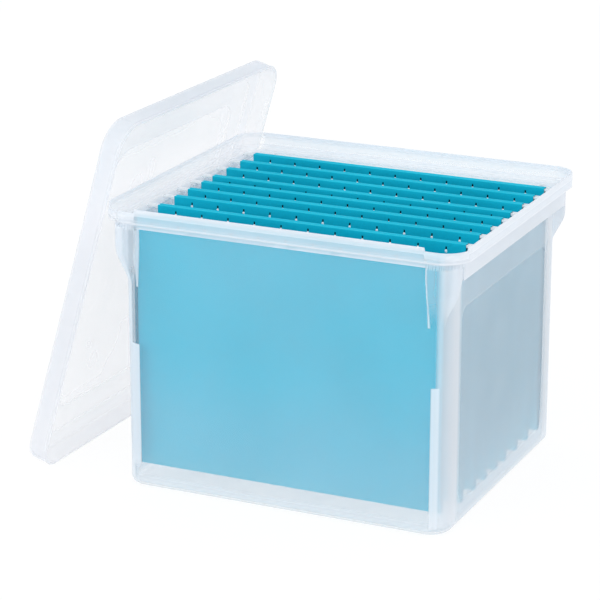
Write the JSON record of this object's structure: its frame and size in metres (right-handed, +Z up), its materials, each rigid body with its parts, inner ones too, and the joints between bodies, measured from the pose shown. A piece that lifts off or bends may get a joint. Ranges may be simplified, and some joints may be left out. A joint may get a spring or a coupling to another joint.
{
  "type": "portable file box",
  "caption": "Open see-through file box with hanging folders on its rim ledge, finger grips on the short sides, and a lift-off lid leaning against one side.",
  "frame": {"origin": "centre of the tub's base, on the floor", "axes": "+X along the folders towards the right short side, +Y from the front folder to the rear folder, +Z up"},
  "size_m": [0.4304, 0.3081, 0.3422],
  "materials": {
    "tub_plastic": "clear polypropylene, slightly hazy",
    "lid_plastic": "clear polypropylene, slightly hazy",
    "folder_card": "matt dyed card",
    "strip_coat": "white coating"
  },
  "bodies": {
    "tub": {"tub": "tub_plastic"},
    "lid": {"lid": "lid_plastic"},
    "folder_1": {"folder_1_card": "folder_card", "folder_1_front_strip": "strip_coat", "folder_1_rear_strip": "strip_coat"},
    "folder_2": {"folder_2_card": "folder_card", "folder_2_front_strip": "strip_coat", "folder_2_rear_strip": "strip_coat"},
    "folder_3": {"folder_3_card": "folder_card", "folder_3_front_strip": "strip_coat", "folder_3_rear_strip": "strip_coat"},
    "folder_4": {"folder_4_card": "folder_card", "folder_4_front_strip": "strip_coat", "folder_4_rear_strip": "strip_coat"},
    "folder_5": {"folder_5_card": "folder_card", "folder_5_front_strip": "strip_coat", "folder_5_rear_strip": "strip_coat"},
    "folder_6": {"folder_6_card": "folder_card", "folder_6_front_strip": "strip_coat", "folder_6_rear_strip": "strip_coat"},
    "folder_7": {"folder_7_card": "folder_card", "folder_7_front_strip": "strip_coat", "folder_7_rear_strip": "strip_coat"},
    "folder_8": {"folder_8_card": "folder_card", "folder_8_front_strip": "strip_coat", "folder_8_rear_strip": "strip_coat"},
    "folder_9": {"folder_9_card": "folder_card", "folder_9_front_strip": "strip_coat", "folder_9_rear_strip": "strip_coat"}
  },
  "joints": [
    {"name": "lid_draw_away", "type": "slide", "parent": "tub", "child": "lid", "axis": [-1, 0, 0], "range_m": [0, 0.25]},
    {"name": "folder_1_slide", "type": "slide", "parent": "tub", "child": "folder_1", "axis": [0, 1, 0], "range_m": [-0.004, 0.006]},
    {"name": "folder_2_slide", "type": "slide", "parent": "tub", "child": "folder_2", "axis": [0, 1, 0], "range_m": [-0.006, 0.006]},
    {"name": "folder_3_slide", "type": "slide", "parent": "tub", "child": "folder_3", "axis": [0, 1, 0], "range_m": [-0.006, 0.006]},
    {"name": "folder_4_slide", "type": "slide", "parent": "tub", "child": "folder_4", "axis": [0, 1, 0], "range_m": [-0.006, 0.006]},
    {"name": "folder_5_slide", "type": "slide", "parent": "tub", "child": "folder_5", "axis": [0, 1, 0], "range_m": [-0.006, 0.006]},
    {"name": "folder_6_slide", "type": "slide", "parent": "tub", "child": "folder_6", "axis": [0, 1, 0], "range_m": [-0.006, 0.006]},
    {"name": "folder_7_slide", "type": "slide", "parent": "tub", "child": "folder_7", "axis": [0, 1, 0], "range_m": [-0.006, 0.006]},
    {"name": "folder_8_slide", "type": "slide", "parent": "tub", "child": "folder_8", "axis": [0, 1, 0], "range_m": [-0.006, 0.006]},
    {"name": "folder_9_slide", "type": "slide", "parent": "tub", "child": "folder_9", "axis": [0, 1, 0], "range_m": [-0.006, 0.006]}
  ]
}
